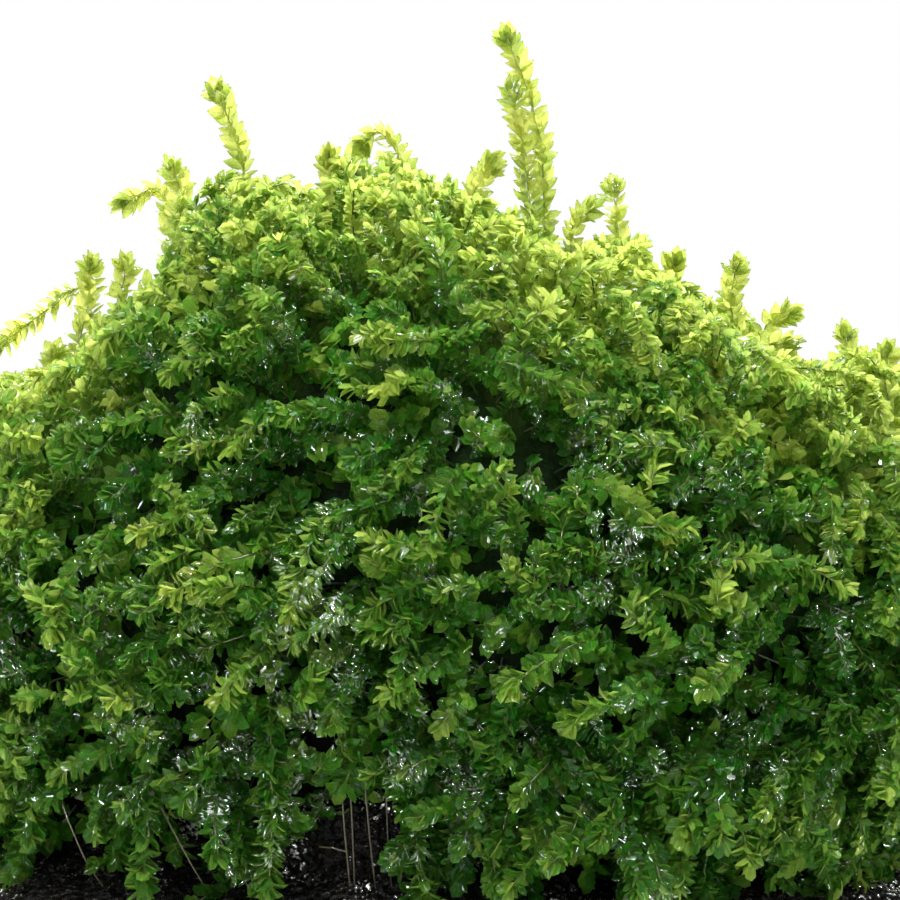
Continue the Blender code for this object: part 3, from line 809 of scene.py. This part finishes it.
for number in range(foot["shoots"] + foot["extra"]):
    angle = 2 * math.pi * (number + draw.random()) / foot["shoots"]
    if number >= foot["shoots"]:
        angle = math.radians(draw.uniform(*foot["extraFrom"]))
    root, path, facing = growFootShoot(angle)
    thinX, thinY, thinShare = foot["thinned"]
    thin = root[1] < thinY and root[0] < thinX
    if inFront(growth["openings"], path) or (thin and draw.random() < thinShare):
        continue
    leaves, stems = mossSides[sideOf(root)]
    leaves.append(dressShoot(path, facing, size=draw.uniform(*foot["sizes"]), breadth=1,
                             ageTo=foot["ageToRight"] if root[0] > 0 else foot["ageToLeft"],
                             tone=draw.normal(0, foot["toneSpread"]), flat=draw.uniform(*foot["flats"])))
    stems.append(dressStem(path, ageTo=0.6))
for name, (leaves, stems) in mossSides.items():
    piece = shootPiece(name, leaves, stems, plainLeaves, deepLeaves, shoot["plainShare"])
    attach(piece, "root")
    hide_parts("moss_cushion")
    print(name, "shoots", len(leaves), "triangles", len(piece.data.polygons))

# short shoots close over the old growth, between the others
under = {
    "spacing": 2.05 * mm, "backSpacing": 2.05 * mm * 1.15, "tries": 24000, "lengths": (2.8 * mm, 5.2 * mm),
    "tone": -0.12, "paleTone": 0.85,
    "look": {"size": 1.3, "step": 1.6, "ageTo": 0.45, "rosette": 4, "breadth": 1},
}
leaves, stems = [], []
for root, normal in rootPlaces(under, bareCore):
    across = unit(np.cross(normal, draw.normal(0, 1, 3)))
    length = draw.uniform(*under["lengths"])
    path = bentPath(root, unit(normal + 0.5 * across), unit(0.3 * normal + across), length)[::2]
    facing = unit(normal + draw.normal(0, 0.3, 3))
    # younger, paler short shoots, most of all near the crest: painted light in the shade between the other
    # shoots
    tone = under["tone"] - under["paleTone"] * paleness(root)
    leaves.append(dressShoot(path, facing, tone=tone, **under["look"]))
    stems.append(dressStem(path))
underPiece = shootPiece("underGrowth", leaves, stems, deepLeaves, deepLeaves)
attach(underPiece, "root")
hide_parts("moss_cushion")
print("undergrowth shoots", len(leaves), "triangles", len(underPiece.data.polygons))
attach(corePiece, "root")
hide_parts("moss_cushion")


def midline(node):
    # Centres of a leader solid's rings of four points, from its foot on the cushion to its tip
    bm = mergedCopy(node)
    gaps = {vert: cushionTree.find_nearest(vert.co)[3] for vert in bm.verts}
    ring = sorted(bm.verts, key=gaps.get)[:4]
    met = set(ring)
    centres = []
    while ring:
        centres.append(sum((vert.co for vert in ring), Vector()) / len(ring))
        others = {edge.other_vert(vert) for vert in ring for edge in vert.link_edges}
        ring = [vert for vert in others if vert not in met]
        met.update(ring)
    bm.free()
    return np.array(centres)


leaders = {
    "front": np.array([0, -1, 0.15]), "rootRun": 4 * mm, "crownHeight": 46 * mm, "budRun": 0.2,
    "crown": {"size": 1.28, "step": 1.45, "ageFrom": 0.6, "ageTo": 0, "bare": 0.1, "tone": -0.1,
              "sideLean": 48, "flat": 0.6, "breadth": 1.1, "rosette": 6, "tipAge": 0.24},
    "face": {"size": 1.25, "step": 0.62, "ageFrom": 0.8, "ageTo": 0.42, "bare": 0.05, "sideLean": 58,
             "flat": 0.5, "breadth": 1},
}
leaders["hanging"] = {**leaders["face"], "size": 1.15, "ageFrom": 0.9, "breadth": 1.1}
leaderNodes = sorted(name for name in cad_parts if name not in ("moss_cushion", "humus_pad"))
for node in leaderNodes:
    path = midline(node)
    inward = unit(path[0] - path[1]) * leaders["rootRun"]
    path = np.concatenate([[path[0] + inward], path])
    facing = unit(path[len(path) // 2] * np.array([1, 1, 0])) if "belt" in node else leaders["front"]
    onCrown = path[-1][2] > leaders["crownHeight"] and "face" not in node
    kind = "crown" if onCrown else "hanging" if "hanging" in node else "face"
    if onCrown:  # ends in its bud a little past the solid's last ring
        path = path[:-1]
        path[-1] += unit(path[-1] - path[-2]) * leaders["budRun"] * mm
    leaves = dressShoot(path, facing, **leaders[kind])
    stems = dressStem(path, ageFrom=0.7, ageTo=0)
    shapes, leafKind = (fineLeaves, crownLeaf) if onCrown else (plainLeaves, mossLeaf)
    piece = shootPiece(node + "Leaves", [leaves], [stems], shapes, shapes, leafKind=leafKind)
    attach(piece, "root")
    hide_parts(node)
print("leader shoots", len(leaderNodes))


humus = {
    "cuts": 8, "softening": 4, "lowest": 0.05 * mm, "halfSize": (57, 46),  # millimetres
    "lumps": ((0.9 * mm, 380), (0.35 * mm, 1400)),  # height and scale of the lumps and of the grain
    # how far the foot spreads on the floor, below what height, and how unevenly
    "spread": 9 * mm, "spreadBelow": 3.5 * mm, "uneven": 0.25, "unevenScale": 120,
    "crumbs": 2200, "crumbSize": (0.14 * mm, 0.6 * mm), "mostSmall": 2.5, "crumbSpread": 0.5 * mm,
    "crumbStretch": (0.7, 1.3), "crumbRoom": 2 * mm,
}


def makeHumus():
    # The solid's ground with lumps and grain, its foot spread out where it was cut
    bm = mergedCopy("humus_pad")
    bmesh.ops.subdivide_edges(bm, edges=bm.edges[:], cuts=humus["cuts"], use_grid_fill=True)
    halfWidth, halfDepth = humus["halfSize"]
    for vert in bm.verts:
        outward = Vector((vert.co.x / halfWidth, vert.co.y / halfDepth, 0)) / mm
        spread = humus["spread"] * ease(humus["spreadBelow"], 0, vert.co.z)
        spread = spread * ease(0.5, 0.8, outward.length)
        unevenness = 1 + humus["uneven"] * noise.noise(vert.co * humus["unevenScale"])
        vert.co += outward.normalized() * spread * unevenness
    free = [vert for vert in bm.verts if vert.co.z > 0.4 * mm]
    for _ in range(humus["softening"]):
        bmesh.ops.smooth_vert(bm, verts=free, factor=0.5, use_axis_x=True, use_axis_y=True, use_axis_z=True)
    bm.normal_update()
    for vert in free:
        lump = sum(height * noise.noise(vert.co * scale) for height, scale in humus["lumps"])
        vert.co += vert.normal * lump * min(1, vert.co.z / (2 * mm))
        vert.co.z = max(vert.co.z, humus["lowest"])
    return pieceFrom("wetHumus", bm, blackHumus)


def makeCrumbs(ground):
    # Loose grains lying on the ground where the moss leaves it open, most of them small
    bm = bmesh.new()
    bmesh.ops.create_icosphere(bm, subdivisions=1, radius=1)
    grain = arraysOf(bm, lambda co: (0.5 + 0.5 * co.x, 0.5 + 0.5 * co.y))
    centres = np.array([face.center for face in ground.data.polygons])
    normals = np.array([face.normal for face in ground.data.polygons])
    ways = np.array([toward.find(centre - core["middle"])[1] for centre in map(Vector, centres)])
    openPlace = padReach[ways] + humus["crumbRoom"] > cushionReach[ways]
    openPlace = openPlace & (normals[:, 2] > -0.2) & (centres[:, 2] > 0.3 * mm)
    weights = np.array([face.area for face in ground.data.polygons]) * openPlace
    number = humus["crumbs"]
    chosen = draw.choice(len(centres), number, p=weights / weights.sum())
    small, large = humus["crumbSize"]
    sizes = small + (large - small) * draw.random(number) ** humus["mostSmall"]
    places = centres[chosen] + draw.normal(0, humus["crumbSpread"], (number, 3))
    places = places + normals[chosen] * sizes[:, None] * 0.2
    places[:, 2] = np.maximum(places[:, 2], sizes * 0.8)
    first = unit(draw.normal(0, 1, (number, 3)))
    second = unit(np.cross(first, draw.normal(0, 1, (number, 3))))
    sides = np.stack([first, second, np.cross(first, second)], 2)
    stretch = sizes[:, None] * draw.uniform(*humus["crumbStretch"], (number, 3))
    batch = (grain, sides * stretch[:, None], places, sizes, sizes, 0)
    piece = joinedPiece("humusCrumbs", [batch], [blackHumus])
    piece.data.shade_flat()
    return piece


humusPiece = makeHumus()
for piece in (humusPiece, makeCrumbs(humusPiece)):
    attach(piece, "root")
    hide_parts("humus_pad")
    print(piece.name, "triangles", len(piece.data.polygons))

# stems that lost their leaves: x, y and z of points down each, in millimetres
bare = {
    "points": [
        [(-9.9, -33, 20), (-9.6, -35, 15), (-9.2, -35.4, 8), (-8.6, -34.6, 1.2)],
        [(-9.1, -32, 20), (-8.9, -34.6, 15), (-8.5, -35, 8), (-8.3, -34.4, 1.2)],
        [(-8, -32, 21), (-7.6, -34.4, 14), (-7, -34.8, 7), (-6.4, -34.2, 1.2)],
        [(-5.8, -32, 19), (-5.6, -34.4, 12), (-5.4, -34.6, 6), (-5, -34, 1.2)],
        [(-1.6, -33, 18), (-1.6, -35, 10), (-2.6, -35.2, 5), (-3.4, -34.4, 1.2)],
        [(-27, -32, 16), (-25.4, -34.4, 10), (-22.8, -34.6, 5), (-20.8, -33.8, 1.2)],
        [(-22.6, -33, 14), (-20.6, -35, 8), (-18.4, -35.2, 4), (-16.6, -34.4, 1.2)],
        [(-36, -28, 15), (-34.4, -31, 9), (-32.2, -31.6, 4), (-30.6, -30.6, 1.2)],
        [(-11.4, -34.4, 6.2), (-10.2, -35.6, 6.4), (-9, -35.4, 6)]],
    "steps": 13, "radius": 0.085 * mm, "sides": 6, "ages": ((0, 0.6), (0.2, 1)),
}
stems = []
for points in bare["points"]:
    ends = np.array(points) * mm
    fine = np.linspace(0, len(ends) - 1, bare["steps"])
    path = np.stack([np.interp(fine, np.arange(len(ends)), ends[:, axis]) for axis in range(3)], 1)
    path[1:-1] = 0.25 * path[:-2] + 0.5 * path[1:-1] + 0.25 * path[2:]
    ages = [draw.uniform(*limits) for limits in bare["ages"]]
    stems.append(dressStem(path, *ages, bare["radius"]))
batch = (stemPrototype(bare["sides"]), *(np.concatenate(part) for part in zip(*stems)), 0)
barePiece = joinedPiece("bareStems", [batch], [bareStem])
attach(barePiece, "root")
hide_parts("moss_cushion")


studio = {
    "target": Vector((0, 0, 38 * mm)), "distance": 0.25, "elevation": 5, "lens": 100, "floorRadius": 0.32,
    # place, size and power of the two soft lamps
    "backSoftbox": ((0.05, 0.3, 0.3), 0.24, 3.5), "topKey": ((-0.04, -0.09, 0.38), 0.24, 2.1),
    # small lamps that only glint on wet leaves and ground
    "sparks": ((-0.17, -0.25, 0.22), (0.19, -0.24, 0.26), (-0.13, -0.3, 0.11), (0.1, -0.31, 0.13),
               (0.02, -0.22, 0.34), (-0.28, -0.12, 0.16), (0.28, -0.1, 0.18)),
    "spark": (0.045, 0.65),
    # narrow fills on the crown from the front: x and height that each is aimed at, in millimetres
    "fills": ((-42, 58), (0, 76), (42, 58)), "fillFrom": (-0.25, 0.1), "fillPower": 0.9,
    "fill": {"spot_size": math.radians(15), "spot_blend": 1, "shadow_soft_size": 0.04},
}

floorMesh = bmesh.new()
bmesh.ops.create_circle(floorMesh, cap_ends=True, segments=96, radius=studio["floorRadius"])
floor = pieceFrom("paleFloor", floorMesh, floorMaterial())


def aim(thing, target):
    thing.rotation_euler = (target - thing.location).to_track_quat("-Z", "Y").to_euler()


def addLamp(name, kind, place, target, power, **settings):
    light = bpy.data.lights.new(name, kind)
    light.energy = power
    for key, value in settings.items():
        setattr(light, key, value)
    lamp = linked(name, light)
    lamp.location = place
    aim(lamp, target)
    return lamp


def addSoftLamp(name, place, size, power):
    lamp = addLamp(name, "AREA", place, studio["target"], power, shape="DISK", size=size)
    lamp.visible_camera = False
    return lamp


for name in ("backSoftbox", "topKey"):
    addSoftLamp(name, *studio[name])
for number, place in enumerate(studio["sparks"]):
    spark = addSoftLamp(f"spark{number}", place, *studio["spark"])
    spark.visible_diffuse = False
for number, (x, z) in enumerate(studio["fills"]):
    target = Vector((x * mm, 0, z * mm))
    place = (x * mm, *studio["fillFrom"])
    fill = addLamp(f"crownFill{number}", "SPOT", place, target, studio["fillPower"], **studio["fill"])
    fill.visible_glossy = False

world = bpy.data.worlds.new("whiteStudio")
bpy.context.scene.world = world
world.use_nodes = True
tree = world.node_tree
tree.nodes.clear()
ways = axesOf(addNode(tree, "TexCoord").outputs["Generated"])
rays = addNode(tree, "LightPath").outputs
fromBack = addRange(ways["Y"], -0.6, 0.9, 0.24, 0.75)
fromTop = addRange(ways["Z"], -0.2, 0.9, 0.25, 1.1)
held = addRange(rays["Is Glossy Ray"], 0, 1, 2.6, 0.3)  # the room is dark where it is mirrored
soft = times(times(fromBack, fromTop), held)
room = addNode(tree, "Background", {"Color": (1, 1, 1), "Strength": soft})
backdrop = addNode(tree, "Background", {"Color": (1, 1, 1), "Strength": 1})
either = addNode(tree, "MixShader", {0: rays["Is Camera Ray"], 1: room.outputs[0], 2: backdrop.outputs[0]})
toSurface(either, "OutputWorld")

cameraData = bpy.data.cameras.new("photoCamera")
cameraData.lens = studio["lens"]
cameraData.sensor_width = 36
cameraData.clip_start = 0.01
camera = linked("photoCamera", cameraData)
tilt = math.radians(studio["elevation"])
camera.location = studio["target"] + studio["distance"] * Vector((0, -math.cos(tilt), math.sin(tilt)))
aim(camera, studio["target"])
bpy.context.scene.camera = camera
bpy.context.scene.view_settings.view_transform = "Standard"
print("studio set")
